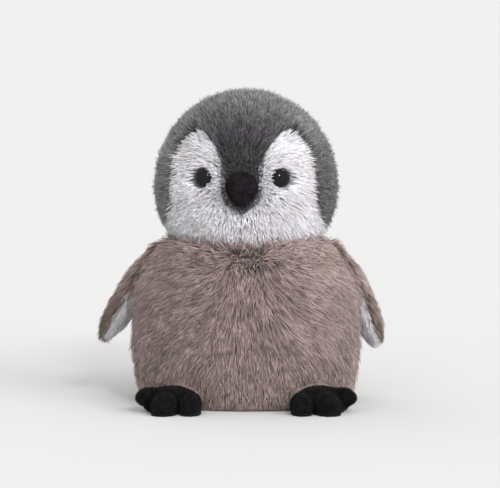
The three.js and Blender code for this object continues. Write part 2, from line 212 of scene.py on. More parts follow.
def ball_grid(rows, columns, edge):
    """Angles over a ball: down from its top for each row, kept off both poles, and round it."""
    rise = np.linspace(edge, math.pi - edge, rows)[:, None]
    angle = full_turn(columns)[None, :]
    return rise, angle


def apply_modifiers(piece):
    """Keeps what the piece's modifiers make of it, and removes them."""
    bpy.context.view_layer.update()
    graph = bpy.context.evaluated_depsgraph_get()
    mesh = bpy.data.meshes.new_from_object(piece.evaluated_get(graph), depsgraph=graph)
    piece.modifiers.clear()
    piece.data = mesh
    return piece


def remesh(piece, voxel, smooth_steps):
    """Makes a closed form into one even skin, without its sharp edges."""
    modifier = piece.modifiers.new("voxels", "REMESH")
    modifier.mode = "VOXEL"
    modifier.voxel_size = voxel * MM
    modifier.use_smooth_shade = True
    smooth = piece.modifiers.new("smooth", "SMOOTH")
    smooth.factor = 0.5
    smooth.iterations = smooth_steps
    return apply_modifiers(piece)


def set_points(mesh, points):
    mesh.vertices.foreach_set("co", (points * MM).astype(np.float32).ravel())
    mesh.update()


def get_points(mesh):
    points = np.zeros(len(mesh.vertices) * 3, np.float32)
    mesh.vertices.foreach_get("co", points)
    return points.reshape(-1, 3).astype(float) / MM


def get_normals(mesh):
    normals = np.zeros(len(mesh.vertices) * 3, np.float32)
    mesh.vertices.foreach_get("normal", normals)
    return normals.reshape(-1, 3).astype(float)


# ---- material helpers ----

FULL = (255, 255, 255)  # multiplying by this leaves a colour as it is


def srgb(red, green, blue):
    """A colour given as 0 to 255 screen values, as the linear colour that a shader takes."""
    channels = [value / 255 for value in (red, green, blue)]
    linear = [v / 12.92 if v <= 0.04045 else ((v + 0.055) / 1.055) ** 2.4 for v in channels]
    return (*linear, 1.0)


def new_material(name, roughness):
    material = bpy.data.materials.new(name)
    material.use_nodes = True
    shader = material.node_tree.nodes["Principled BSDF"]
    shader.inputs["Roughness"].default_value = roughness
    return material, material.node_tree, shader


def attribute_value(tree, name):
    """A value that each strand carries, such as the place along it."""
    node = tree.nodes.new("ShaderNodeAttribute")
    node.attribute_name = name
    return node.outputs["Fac"]


def mix_colours(tree, factor, first, second, blend="MIX"):
    """Mixes two colours; each, and the factor, is a socket or a plain value."""
    node = tree.nodes.new("ShaderNodeMix")
    node.data_type = "RGBA"
    node.blend_type = blend
    for socket, value in ((node.inputs["Factor"], factor), (node.inputs[6], first), (node.inputs[7], second)):
        if isinstance(value, bpy.types.NodeSocket):
            tree.links.new(value, socket)
        else:
            socket.default_value = value
    return node.outputs[2]


def ramp(tree, factor, stops):
    """A colour looked up between stops of (place, colour)."""
    node = tree.nodes.new("ShaderNodeValToRGB")
    elements = node.color_ramp.elements
    while len(elements) < len(stops):
        elements.new(0.5)
    for element, (place, colour) in zip(elements, stops):
        element.position = place
        element.color = colour
    tree.links.new(factor, node.inputs["Fac"])
    return node.outputs["Color"]


def noise(tree, scale, detail=3.0):
    """Noise at a number of features per metre, fixed to the object."""
    place = tree.nodes.new("ShaderNodeTexCoord")
    node = tree.nodes.new("ShaderNodeTexNoise")
    node.inputs["Scale"].default_value = scale
    node.inputs["Detail"].default_value = detail
    tree.links.new(place.outputs["Object"], node.inputs["Vector"])
    return node.outputs["Fac"]


def bump(tree, shader, height, strength, distance):
    """Small relief, with its depth in millimetres."""
    node = tree.nodes.new("ShaderNodeBump")
    node.inputs["Strength"].default_value = strength
    node.inputs["Distance"].default_value = distance * MM
    tree.links.new(height, node.inputs["Height"])
    tree.links.new(node.outputs["Normal"], shader.inputs["Normal"])


def multiplied(tree, colour, factor, stops):
    """A colour multiplied by a ramp of two tones."""
    tones = [(place, srgb(*tone)) for place, tone in stops]
    return mix_colours(tree, 1.0, colour, ramp(tree, factor, tones), "MULTIPLY")


def fur_material(name, root, middle, tip, other_tip, strand_dark):
    """Fur that is darkest at the root and lightest at the tip, which is painted shade deep in the pile and a
    painted highlight on the tips, with lighter and darker strands and slow patches of darker tone.
    """
    material, tree, shader = new_material(name, 0.62)
    along = attribute_value(tree, "along")
    shade = attribute_value(tree, "shade")
    zone = attribute_value(tree, "zone")
    # The ramp from root to tip paints shade deep in the pile and a highlight on the tips.
    strand = ramp(tree, along, [(0.0, srgb(*root)), (0.45, srgb(*middle)), (1.0, srgb(*tip))])
    other = ramp(tree, along, [(0.0, srgb(*root)), (1.0, srgb(*other_tip))])
    coat = mix_colours(tree, zone, strand, other)
    toned = multiplied(tree, coat, shade, [(0.1, strand_dark), (0.85, FULL)])
    patchy = multiplied(tree, toned, noise(tree, 70), [(0.3, (225, 222, 220)), (0.7, FULL)])
    tree.links.new(patchy, shader.inputs["Base Color"])
    shader.inputs["Sheen Weight"].default_value = 0.25
    shader.inputs["Sheen Roughness"].default_value = 0.5
    shader.inputs["Specular IOR Level"].default_value = 0.25
    return material


def cloth_material(name, colour, dark, scale, height):
    """Knitted or woven cloth: a fine two-way thread pattern with uneven dye."""
    material, tree, shader = new_material(name, 0.9)
    place = tree.nodes.new("ShaderNodeTexCoord")
    threads = []
    for direction in ("X", "Z"):
        wave = tree.nodes.new("ShaderNodeTexWave")
        wave.bands_direction = direction
        wave.inputs["Scale"].default_value = scale
        wave.inputs["Distortion"].default_value = 1.5
        tree.links.new(place.outputs["Object"], wave.inputs["Vector"])
        threads.append(wave.outputs["Fac"])
    weave = tree.nodes.new("ShaderNodeMath")
    weave.operation = "MULTIPLY"
    tree.links.new(threads[0], weave.inputs[0])
    tree.links.new(threads[1], weave.inputs[1])
    woven = ramp(tree, weave.outputs[0], [(0.0, srgb(*dark)), (0.6, srgb(*colour))])
    dyed = multiplied(tree, woven, noise(tree, 120), [(0.3, (232, 232, 232)), (0.7, FULL)])
    tree.links.new(dyed, shader.inputs["Base Color"])
    bump(tree, shader, weave.outputs[0], 0.5, height)
    shader.inputs["Specular IOR Level"].default_value = 0.2
    return material


# ---- camera, light and floor ----

CAMERA_RISE = 5.0  # degrees above level
CAMERA_DISTANCE = 2400.0
VIEW_WIDTH = 308.5  # how much of the object's plane the frame takes in
VIEW_CENTRE = np.array([2.4, 0.0, 97.3])
SENSOR = 36.0  # width, in real millimetres


def add_camera():
    rise = math.radians(CAMERA_RISE)
    data = bpy.data.cameras.new("camera")
    data.sensor_width = SENSOR
    data.lens = SENSOR * CAMERA_DISTANCE / VIEW_WIDTH
    data.clip_start = 0.05
    data.clip_end = 200
    camera = bpy.data.objects.new("camera", data)
    back = Vector((0, -math.cos(rise), math.sin(rise)))
    camera.location = (Vector(VIEW_CENTRE) + back * CAMERA_DISTANCE) * MM
    camera.rotation_euler = back.to_track_quat("Z", "Y").to_euler()
    bpy.context.scene.collection.objects.link(camera)
    bpy.context.scene.camera = camera


def add_sun(name, towards, strength, softness, colour, mirrored=False):
    """A distant light; towards points to it, softness is its width in degrees, mirrored shows it in gloss."""
    data = bpy.data.lights.new(name, "SUN")
    data.energy = strength
    data.angle = math.radians(softness)
    data.color = colour
    sun = bpy.data.objects.new(name, data)
    sun.visible_glossy = mirrored
    sun.rotation_euler = Vector(towards).to_track_quat("Z", "Y").to_euler()
    bpy.context.scene.collection.objects.link(sun)


def add_floor():
    half = 40000.0
    points = [(-half, -half, 0), (half, -half, 0), (half, half, 0), (-half, half, 0)]
    floor = make_mesh("floor", points, [(0, 1, 2, 3)])
    material, tree, shader = new_material("floor_paper", 0.9)
    shader.inputs["Base Color"].default_value = srgb(191, 191, 191)  # as bright as the world, once lit
    shader.inputs["Specular IOR Level"].default_value = 0.0
    floor.data.materials.append(material)


def add_world():
    world = bpy.data.worlds.new("studio")
    world.use_nodes = True
    background = world.node_tree.nodes["Background"]
    background.inputs["Color"].default_value = srgb(240, 240, 240)
    background.inputs["Strength"].default_value = 1.0
    bpy.context.scene.world = world
    bpy.context.scene.view_settings.view_transform = "Standard"


add_camera()
add_world()
add_floor()
add_sun("key", (0.7, -0.65, 0.28), 3.0, 50, (1.0, 0.99, 0.97))
add_sun("crisp", (0.24, -0.84, 0.5), 1.2, 10, (1.0, 1.0, 0.99), mirrored=True)
add_sun("fill", (0.05, -1.0, 0.4), 1.8, 70, (1.0, 1.0, 1.0))
add_sun("behind", (-0.3, 0.85, 0.55), 0.8, 70, (1.0, 1.0, 1.0))


# ---- the coat ----

STEPS = np.array([0.0, 0.38, 0.72, 1.0])  # places along a strand: three rings and the tip
THICKNESS = np.array([1.0, 0.95, 0.7])
POINTS_PER_STRAND = 10
STRANDS_PER_PIECE = 12000
GROUND_ROOM = 0.4  # how far strands stay above the floor
STRAY_SHARE = 0.12  # strands that stand out from the rest, by the next two factors
STRAY_LENGTH = 1.15
STRAY_LIFT = 1.3
TUFT_GATHER = 0.8  # how strongly tufts gather, for what locks do

# A coat's look says, in millimetres where it is a length: length; lift, how far the tip stands off the
# skin; width, the strand's radius; mess, how unevenly strands lie; bow, their bend sideways; curve, above
# 1 where they rise before they lie down; locks and tufts, the share of strands that lead others; gather,
# how far the others follow; and zone, from 0 to 1, how much of the colour is the other tip's.


def strand_faces():
    """Faces of one strand: a root cap, two bands of three sides and a three-sided tip."""
    faces = [[2, 1, 0]]
    for ring in range(2):
        for k in range(3):
            after = (k + 1) % 3
            faces.append([ring * 3 + k, ring * 3 + after, ring * 3 + 3 + after, ring * 3 + 3 + k])
    return faces + [[6 + k, 6 + (k + 1) % 3, 9] for k in range(3)]


def bake_cells(count, loops):
    """A cell of the texture square for each strand, for each corner of its faces."""
    across = math.ceil(math.sqrt(count))
    cell = np.stack([np.arange(count) % across, np.arange(count) // across], axis=1) / across
    ring = np.minimum(loops // 3, 3)
    side = np.where(loops == 9, 1, loops % 3)
    local = np.stack([0.15 + 0.35 * side, 0.15 + 0.7 * STEPS[ring]], axis=1) / across
    return (cell[:, None, :] + local[None, :, :]).reshape(-1, 2)


def nearest_leader(roots, share, seed):
    """For each root, the strand that its lock of fur gathers to; share is how many strands lead."""
    order = np.random.default_rng(seed).permutation(len(roots))
    leaders = order[:max(8, int(len(roots) * share))]
    tree = kdtree.KDTree(len(leaders))
    for place, leader in enumerate(leaders):
        tree.insert(roots[leader], place)
    tree.balance()
    return np.array([leaders[tree.find(root)[1]] for root in roots])


def column(values, count):
    return np.broadcast_to(values, (count,)).reshape(count, 1).astype(float)


def grow(roots, normals, flows, look, keep_out=None):
    """Strands from the roots that rise along the normals and lie down along the flows."""
    rng = np.random.default_rng(look["seed"])
    count = len(roots)
    stray = rng.uniform(size=(count, 1)) < STRAY_SHARE
    length = column(look["length"], count) * rng.uniform(0.75, 1.15, (count, 1))
    length *= np.where(stray, STRAY_LENGTH, 1)
    lift = column(look["lift"], count) * rng.uniform(0.72, 1.12, (count, 1))
    lift *= np.where(stray, STRAY_LIFT, 1)
    lift = np.minimum(lift, length * 0.97)
    reach = np.sqrt(np.maximum(length**2 - lift**2, 0.01))
    flows = unit(flows)
    flows = unit(flows + look["mess"] * rng.normal(size=(count, 3)))
    flows = unit(flows - normals * np.sum(flows * normals, axis=1, keepdims=True))
    across = np.cross(normals, flows)
    bow = rng.normal(size=(count, 1)) * look["bow"]
    t = STEPS[None, :, None]
    path = (roots[:, None, :]
            + normals[:, None, :] * (lift[:, None, :] * (1 - (1 - t) ** 1.7))
            + flows[:, None, :] * (reach[:, None, :] * t ** look["curve"])
            + across[:, None, :] * (bow[:, None, :] * t**2))
    shade = rng.uniform(0, 1, count)
    tone = rng.uniform(0, 1, count)
    for seed, (group, strength) in enumerate((("locks", 1.0), ("tufts", TUFT_GATHER)), 1):
        leader = nearest_leader(roots, look[group], look["seed"] + seed)
        pull = look["gather"] * strength * t**1.6 * rng.uniform(0.5, 1.0, (count, 1, 1))
        path = path + pull * (path[leader] - path)
        shade = 0.65 * shade + 0.35 * tone[leader]
    if keep_out is not None:
        path = keep_out(path)
    path[:, :, 2] = np.maximum(path[:, :, 2], GROUND_ROOM + 0.5 * shade[:, None])
    return {
        "path": path, "normal": normals, "shade": shade,
        "turn": rng.uniform(0, 2 * math.pi / 3, (count, 1)),
        "width": look["width"] * rng.uniform(0.75, 1.25, (count, 1)),
        "zone": np.broadcast_to(look.get("zone", 0.0), (count,)),
    }


def strand_points(strands):
    """Three rings of three points and a tip for each strand."""
    path = strands["path"]
    tangent = unit(np.gradient(path, axis=1))
    side = unit(np.cross(tangent, strands["normal"][:, None, :] + 0.01))
    other = np.cross(side, tangent)
    rings = []
    for ring in range(3):
        for k in range(3):
            angle = strands["turn"] + 2 * math.pi * k / 3
            spoke = np.cos(angle) * side[:, ring] + np.sin(angle) * other[:, ring]
            rings.append(path[:, ring] + spoke * strands["width"] * THICKNESS[ring])
    rings.append(path[:, 3])
    points = np.stack(rings, axis=1).reshape(-1, 3)
    points[:, 2] = np.maximum(points[:, 2], GROUND_ROOM / 2)
    return points


def strand_mesh(name, strands):
    points = strand_points(strands)
    count = len(points) // POINTS_PER_STRAND
    faces = strand_faces()
    loops = np.array([i for face in faces for i in face])
    sizes = np.tile([len(face) for face in faces], count)
    corners = (np.arange(count)[:, None] * POINTS_PER_STRAND + loops).ravel()
    mesh = bpy.data.meshes.new(name)
    mesh.vertices.add(len(points))
    mesh.vertices.foreach_set("co", (points * MM).astype(np.float32).ravel())
    mesh.loops.add(len(corners))
    mesh.loops.foreach_set("vertex_index", corners.astype(np.int32))
    mesh.polygons.add(len(sizes))
    mesh.polygons.foreach_set("loop_start", np.concatenate([[0], np.cumsum(sizes)[:-1]]).astype(np.int32))
    mesh.polygons.foreach_set("use_smooth", np.ones(len(sizes), bool))
    mesh.update(calc_edges=True)
    cells = mesh.uv_layers.new(name="OFBake")
    cells.data.foreach_set("uv", bake_cells(count, loops).astype(np.float32).ravel())
    values = {
        "along": np.tile(np.append(np.repeat(STEPS[:3], 3), 1.0), count),
        "shade": np.repeat(strands["shade"], POINTS_PER_STRAND),
        "zone": np.repeat(strands["zone"], POINTS_PER_STRAND),
    }
    for key, value in values.items():
        layer = mesh.attributes.new(key, "FLOAT", "POINT")
        layer.data.foreach_set("value", value.astype(np.float32))
    return link(mesh, name)


def add_coat(name, strands, chosen, body, slot, material, node):
    """The chosen strands as pieces of a size that stays easy to handle, split by height."""
    picked = np.flatnonzero(chosen)
    picked = picked[np.argsort(strands["path"][picked, 0, 2], kind="stable")]
    share_count = max(1, math.ceil(len(picked) / STRANDS_PER_PIECE))
    for number, share in enumerate(np.array_split(picked, share_count)):
        part = strand_mesh(f"{name}_{number + 1}", {key: value[share] for key, value in strands.items()})
        add_piece(part, body, slot, material, node)


def sample_roots(points, faces, normals, density, seed):
    """Random places on a skin of quads, density to the square millimetre, with their normals."""
    rng = np.random.default_rng(seed)
    quads = np.array(faces)
    triangles = np.vstack([quads[:, [0, 1, 2]], quads[:, [0, 2, 3]]])
    a, b, c = (points[triangles[:, i]] for i in range(3))
    area = np.linalg.norm(np.cross(b - a, c - a), axis=1) / 2
    count = int(area.sum() * density)
    pick = rng.choice(len(triangles), count, p=area / area.sum())
    u, v = rng.uniform(size=(2, count, 1))
    flip = u + v > 1
    u, v = np.where(flip, 1 - u, u), np.where(flip, 1 - v, v)
    root = a[pick] + u * (b - a)[pick] + v * (c - a)[pick]
    na, nb, nc = (normals[triangles[pick, i]] for i in range(3))
    return root, unit(na + u * (nb - na) + v * (nc - na))


def skin_normals(points, faces):
    """Outward normals at the corners of a skin of quads."""
    quads = np.array(faces)
    a, b, c, d = (points[quads[:, i]] for i in range(4))
    face_normal = np.cross(c - a, d - b)
    normals = np.zeros_like(points)
    for i in range(4):
        np.add.at(normals, quads[:, i], face_normal)
    facing = np.sum(normals * (points - points.mean(axis=0)))
    return unit(normals) * np.sign(facing)


def add_piece(piece, body, slot, material, *nodes):
    """Gives a piece its material, rides it on a body, and hides the solids it stands for; slot is not used.
    """
    piece.data.materials.clear()
    piece.data.materials.append(material)
    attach(piece, body)
    if nodes:
        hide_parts(*nodes)
    return piece


# ---- colours ----

# Each fur's root colour is far darker and its tip lighter than its middle: painted shade deep in the pile and
# a painted highlight on the tips.
BROWN_FUR = fur_material(
    "brown_fur", root=(78, 59, 58), middle=(152, 128, 126), tip=(236, 209, 205), other_tip=(160, 141, 122),
    strand_dark=(116, 112, 112))
# The grey fur's other tip is the darker tone of the forehead, and it is also painted shade low on the head's
# left side.
GREY_FUR = fur_material(
    "grey_fur", root=(26, 25, 28), middle=(84, 84, 86), tip=(192, 193, 192), other_tip=(86, 80, 89),
    strand_dark=(104, 104, 104))
WHITE_FUR = fur_material(
    "white_fur", root=(236, 235, 240), middle=(242, 241, 245), tip=(244, 243, 247),
    other_tip=(242, 241, 245), strand_dark=(240, 240, 243))
# The knit backings are darker than their fur's middle tone, the brown and the grey most, so that the gaps
# between the strands show painted shade.
BROWN_KNIT = cloth_material("brown_knit", (112, 95, 92), (80, 66, 63), 380, 0.15)
GREY_KNIT = cloth_material("grey_knit", (62, 60, 64), (42, 40, 44), 380, 0.15)
WHITE_KNIT = cloth_material("white_knit", (232, 232, 236), (205, 205, 212), 380, 0.15)


# ---- torso ----

TORSO_CURVE = spline(TORSO_SIDE, 12)
DOWN = np.array([0.0, 0.0, -1.0])
BACKING = 0.6  # how far the backing lies outside the filling
LAY_OVER = 6.0  # deepest that a strand may run into a foot and still be laid over it


def torso_half_width(height):
    return np.interp(height, TORSO_CURVE[:, 1], TORSO_CURVE[:, 0])


def torso_depth(height):
    """How deep the torso is for its width, at a height."""
    rise = ease(TORSO_SIDE[3][1], TORSO_SIDE[7][1], height)
    return TORSO_DEPTH_LOW + (TORSO_DEPTH_NECK - TORSO_DEPTH_LOW) * rise


def torso_size(points):
    """Each point's distance from the axis, as the half-width of the torso's section through it."""
    across = np.abs(points[..., 0]) ** TORSO_SQUARENESS
    deep = np.abs(points[..., 1] / torso_depth(points[..., 2])) ** TORSO_SQUARENESS
    return (across + deep) ** (1 / TORSO_SQUARENESS)


def torso_skin(inset, low, high):
    """The torso's form at an inset, between two heights, as a grid of quads."""
    columns, rows = 96, 48
    height = np.linspace(low, high, rows)[:, None]
    angle = full_turn(columns)
    power = np.abs(np.cos(angle)) ** TORSO_SQUARENESS + np.abs(np.sin(angle)) ** TORSO_SQUARENESS
    reach = (torso_half_width(height) - inset) * power ** (-1 / TORSO_SQUARENESS)
    z = np.broadcast_to(height, reach.shape)
    points = np.stack([reach * np.cos(angle), reach * np.sin(angle) * torso_depth(height), z], axis=-1)
    return points.reshape(-1, 3), grid_faces(rows, columns)


def body_flow(points):
    """The body's nap: down the middle, out to the sides at the shoulders, and up against the chin."""
    outward = np.zeros_like(points)
    outward[:, 0] = np.sign(points[:, 0])
    side = ease(2, 34, np.abs(points[:, 0]))
    high = ease(6, 92, points[:, 2])
    ruff = (ease(88, 98, points[:, 2]) * ease(24, 4, points[:, 1]))[:, None]
    return DOWN * (1 - 2.4 * ruff) + outward * (2.4 * side * high)[:, None]


def foot_place(points, side):
    """Puts points of a foot, given from its hinge at ground level, in the row frame."""
    hinge = joint_place("foot_left_flex" if side > 0 else "foot_right_flex")
    return turned(points, "Z", side * FOOT_YAW) + np.array([hinge[0], hinge[1], 0])


def in_lump(points, lump, side, margin):
    """Points in a foot lump's own frame, where the lump with its margin is a unit ball."""
    centre, radii, splay = lump
    middle = foot_place(np.array([centre], float) * [side, 1, 1], side)[0]
    return turned(points - middle, "Z", -side * (FOOT_YAW + splay)) / (np.array(radii) + margin)


def over_lump(path, lump, side):
    """How far each point is below the top of a foot lump; 0 outside it, and deep inside it."""
    centre, radii = lump[:2]
    local = in_lump(path, lump, side, 0.4)
    across = np.sum(local[..., :2] ** 2, axis=-1)
    top = centre[2] + (radii[2] + 0.4) * np.sqrt(np.maximum(1 - across, 0))
    sunk = np.where(np.linalg.norm(local, axis=-1) < 1, top - path[..., 2], 0)
    return np.where((sunk > 0) & (sunk < LAY_OVER), sunk, 0)


def clear_of_feet(path):
    """Lays strands that would run into a foot's heel forward over its top."""
    heel = FOOT_LUMPS[0]
    for side in SIDES.values():
        path[..., 1] -= 0.5 * over_lump(path, heel, side)
        path[..., 2] += over_lump(path, heel, side)
    return path


def in_a_foot(roots):
    """Which roots the feet cover."""
    inside = np.zeros(len(roots), bool)
    for side in SIDES.values():
        for lump in FOOT_LUMPS:
            inside |= np.linalg.norm(in_lump(roots, lump, side, -1.0), axis=-1) < 1
    return inside


def in_a_flipper(roots):
    """Which roots a flipper's root covers."""
    inside = np.zeros(len(roots), bool)
    for name in SIDES:
        local = flipper_unplace(roots, name)
        share = flipper_share(local)
        across = np.abs(local[:, 0] - flipper_middle(share, name)) < FLIPPER_HALF_THICKNESS
        inside |= across & (np.abs(local[:, 1]) < FLIPPER_TIP_CHORD) & (share > 0) & (share < 1)
    return inside


def make_backing(node, push, material, body, slot):
    """The panel's knitted backing: the CAD panel with its outer face brought in to a thin sheet."""
    piece = link(frame["nodes"][node].data.copy(), node + "_backing")
    set_points(piece.data, push(get_points(piece.data)))
    piece.data.polygons.foreach_set("use_smooth", [False] * len(piece.data.polygons))
    return add_piece(piece, body, slot, material, node)


def torso_thin(points):
    """Brings points of a torso panel in to the backing's outer face."""
    limit = torso_half_width(points[:, 2]) - PLUSH + BACKING
    points[:, :2] *= np.minimum(1, limit / np.maximum(torso_size(points), 1))[:, None]
    return points


def label_side(degrees):
    """The direction that lies a number of degrees round from straight ahead, on the left."""
    return np.array([math.sin(math.radians(degrees)), -math.cos(math.radians(degrees)), 0.0])


def by_label(roots):
    """How near each root is to the label, from 0 to 1."""
    out, across = label_side(LABEL_FACING), label_side(LABEL_FACING + 90)
    from_label = roots - label_side(LABEL_PLACE) * LABEL_REACH
    return (ease(14, 8, np.abs(from_label @ across)) * ease(20, 10, np.abs(from_label @ out))
            * ease(40, 28, roots[:, 2]))


def torso_look(roots):
    """The body's fur: longer at the collar and shoulders, messy where the nap parts, flat by the label."""
    across, height = np.abs(roots[:, 0]), roots[:, 2]
    front = ease(24, 4, roots[:, 1])
    near_neck = ease(80, 100, height)
    collar = ease(90, 98, height) * front
    parting = ease(82, 91, height) * ease(100, 94, height) * front
    over_foot = ease(30, 19, height) * ease(26, 16, np.abs(across - 42)) * (roots[:, 1] < 0)
    shoulder = ease(38, 54, across) * ease(50, 78, height)
    lift = 7.1 - 0.6 * near_neck + 1.5 * collar + 1.5 * parting + 2.0 * shoulder
    flattened = by_label(roots)
    return {
        "seed": 100,
        "length": (13.0 + 4.0 * collar - 2.0 * over_foot + 5.0 * shoulder) * (1 - 0.3 * flattened),
        "lift": lift * (1 - 0.5 * flattened),
        "width": 0.18, "mess": (0.2 + 0.25 * over_foot + 0.5 * parting)[:, None],
        "bow": 1.4, "curve": 1.25, "locks": 0.05, "tufts": 0.25, "gather": 0.4,
    }


def add_torso():
    points, faces = torso_skin(ROOT_INSET, 1.5, 105.0)
    roots, normals = sample_roots(points, faces, skin_normals(points, faces), BROWN_DENSITY, 11)
    under_head = np.linalg.norm(roots - HEAD_CENTRE, axis=1) < HEAD_RADIUS + 1.0
    grown = ~under_head & ~in_a_foot(roots) & ~in_a_flipper(roots)
    roots, normals = roots[grown], normals[grown]
    strands = grow(roots, normals, body_flow(roots), torso_look(roots), clear_of_feet)
    for end, front in (("front", True), ("back", False)):
        for name, side in SIDES.items():
            node = f"body_{end}_{name}"
            chosen = ((roots[:, 1] < 0) == front) & (roots[:, 0] * side > 0)
            add_coat(node + "_fur", strands, chosen, "torso", "body_fur", BROWN_FUR, node)
            make_backing(node, torso_thin, BROWN_KNIT, "torso", "body_fur")


# ---- head ----

def eye_axis(side):
    """The direction from the head's centre out through an eye, before the face is turned."""
    forward = math.sqrt(HEAD_RADIUS**2 - EYE_SIDE**2 - EYE_RISE**2)
    return unit(np.array([side * EYE_SIDE, -forward, EYE_RISE]))


def face_round(piece):
    """Turns a piece that was made facing straight ahead to where the head rests."""
    offset = get_points(piece.data) - HEAD_CENTRE
    set_points(piece.data, turned(offset, "Z", FACE_TURN) + HEAD_CENTRE)
    return piece


def head_skin(inset):
    """The head's form at an inset, from its centre, as a grid of quads."""
    columns, rows = 96, 64
    rise = np.linspace(-math.pi / 2 + 0.35, math.pi / 2 - 0.001, rows)[:, None]
    angle = full_turn(columns)
    radius = HEAD_RADIUS - inset
    crown = np.where(rise > 0, HEAD_CROWN - inset, radius)
    x = radius * np.cos(rise) * np.cos(angle)
    y = radius * np.cos(rise) * np.sin(angle)
    z = np.broadcast_to(crown * np.sin(rise), x.shape)
    return np.stack([x, y, z], axis=-1).reshape(-1, 3), grid_faces(rows, columns)


def head_thin(points):
    """Brings points of a head panel in to the backing's outer face."""
    offset = points - HEAD_CENTRE
    crown = np.where(offset[:, 2:] > 0, HEAD_CROWN / HEAD_RADIUS, 1.0)
    size = np.linalg.norm(offset / np.hstack([np.ones((len(points), 2)), crown]), axis=1)
    limit = HEAD_RADIUS - PLUSH + BACKING
    return HEAD_CENTRE + offset * np.minimum(1, limit / np.maximum(size, 1))[:, None]


def head_panel(roots):
    """Which panel each root is on: the gusset, a grey side or a face patch."""
    x, y, z = roots.T
    outline = spline(np.vstack([FACE_OUTLINE[6:], FACE_OUTLINE[:6]]), 8)
    in_patch = inside_outline(np.abs(x), z, outline) & (y < 0)
    in_gusset = (np.abs(x) < GUSSET_HALF_WIDTH) & ~in_patch & ((y > 0) | (z > GUSSET_FRONT_END))
    side = np.where(x > 0, "left", "right")
    panel = np.where(in_patch, np.char.add("face_patch_", side), np.char.add("head_side_", side))
    return np.where(in_gusset, "head_gusset", panel)


def head_flow(roots, white):
    """The head's nap: away from the beak over the face, turning down at the back and under the chin."""
    offset = unit(roots)
    away = unit(offset - unit(np.array([0.0, -1.0, 0.05])))
    chin = (ease(14, 2, np.abs(roots[:, 0])) * ease(0, -14, roots[:, 2]))[:, None]
    away = away * (1 - [1.0, 0.0, 0.0] * chin)
    behind = ease(-0.1, 0.8, offset[:, 1])[:, None]
    low = ease(0.35, -0.4, offset[:, 2])[:, None]
    grey = away * (1 - behind) + DOWN * (behind + 0.5 * low)
    return np.where(white[:, None], away + DOWN * 0.55, grey)


def distance_to_eye(roots):
    """How far each root on the front is from the nearest eye's axis."""
    nearest = np.full(len(roots), 99.0)
    for side in SIDES.values():
        axis = eye_axis(side)
        gap = np.linalg.norm(roots - np.outer(roots @ axis, axis), axis=1)
        nearest = np.minimum(nearest, np.where(roots @ axis > 0, gap, 99.0))
    return nearest


def head_look(roots, white, front, beak_gap, eye_gap):
    """The head's fur: short round the beak, the eyes and the patches' tops, darker on the forehead, and
    darker low on the left side as painted shade.
    """
    x, y, z = roots.T
    by_beak = np.where(front, ease(0.8, 3.0, beak_gap), 1.0)
    by_eye = ease(EYE_RADIUS - 1, EYE_RADIUS + 6, eye_gap)
    top_corner = white * ease(20, 32, z)
    short = (0.4 + 0.6 * by_beak) * (0.9 + 0.1 * by_eye) * (1 - 0.35 * top_corner)
    forehead = ease(38, 10, np.abs(x)) * ease(10, -24, y) * ease(52, 30, z)
    # Painted shade: the grey low on the head's left side takes the darker other tip.
    painted_shade_side = 0.75 * ease(20, 34, x) * ease(34, 16, z)
    return {
        "seed": 200, "length": np.where(white, 9.3, 10.6) * short,
        "lift": np.where(white, 7.2, 7.7) * (0.7 + 0.3 * short),
        "width": np.where(white, 0.17, 0.18)[:, None],
        "mess": 0.2, "bow": 0.7, "curve": 1.25, "locks": 0.04, "tufts": 0.2,
        "gather": np.where(white, 0.16, 0.35)[:, None, None],
        "zone": np.where(white, 0.0, np.maximum(forehead, painted_shade_side)),
    }


def add_head():
    points, faces = head_skin(ROOT_INSET)
    roots, normals = sample_roots(points, faces, skin_normals(points, faces), HEAD_DENSITY, 12)
    front = roots[:, 1] < 0
    beak_gap = np.linalg.norm((roots - BEAK_ROOT)[:, [0, 2]] / BEAK_RADII[[0, 2]], axis=1)
    eye_gap = distance_to_eye(roots)
    grown = ~(front & (beak_gap < 0.95)) & (eye_gap > EYE_RADIUS - 0.1)
    roots, normals, front = roots[grown], normals[grown], front[grown]
    panels = head_panel(roots)
    white = np.char.startswith(panels, "face")
    look = head_look(roots, white, front, beak_gap[grown], eye_gap[grown])
    strands = grow(roots + HEAD_CENTRE, normals, head_flow(roots, white), look)
    strands["path"] = turned(strands["path"] - HEAD_CENTRE, "Z", FACE_TURN) + HEAD_CENTRE
    strands["normal"] = turned(normals, "Z", FACE_TURN)
    for node in sorted(set(panels)):
        if node.startswith("face"):
            material, knit, slot = WHITE_FUR, WHITE_KNIT, "white_fur"
        else:
            material, knit, slot = GREY_FUR, GREY_KNIT, "head_fur"
        add_coat(node + "_fur", strands, panels == node, "head", slot, material, node)
        make_backing(node, head_thin, knit, "head", slot)


# ---- flippers ----

def flipper_place(points, name):
    """Moves points from the flipper's own frame, which hangs from its seam, to the row frame."""
    side = SIDES[name]
    spread = FLIPPER_POSE[name][0]
    swung = turned(points, "Y", -side * spread)
    return turned(swung, "Z", side * FLIPPER_YAW) + joint_place(f"flipper_{name}_flap")


def flipper_unplace(points, name):
    """Moves points from the row frame to the flipper's own frame."""
    side = SIDES[name]
    spread = FLIPPER_POSE[name][0]
    back = turned(points - joint_place(f"flipper_{name}_flap"), "Z", -side * FLIPPER_YAW)
    return turned(back, "Y", side * spread)


def flipper_share(local):
    """How far along the paddle each point is, from 0 at its root to 1 at its tip."""
    length = FLIPPER_LENGTH + FLIPPER_ABOVE_SEAM
    return np.clip((FLIPPER_ABOVE_SEAM - local[:, 2]) / length, 0, 1)


def flipper_middle(share, name):
    """Where the paddle's middle sheet lies across its thickness, as its curl bends it."""
    return -FLIPPER_POSE[name][1] * SIDES[name] * share**2


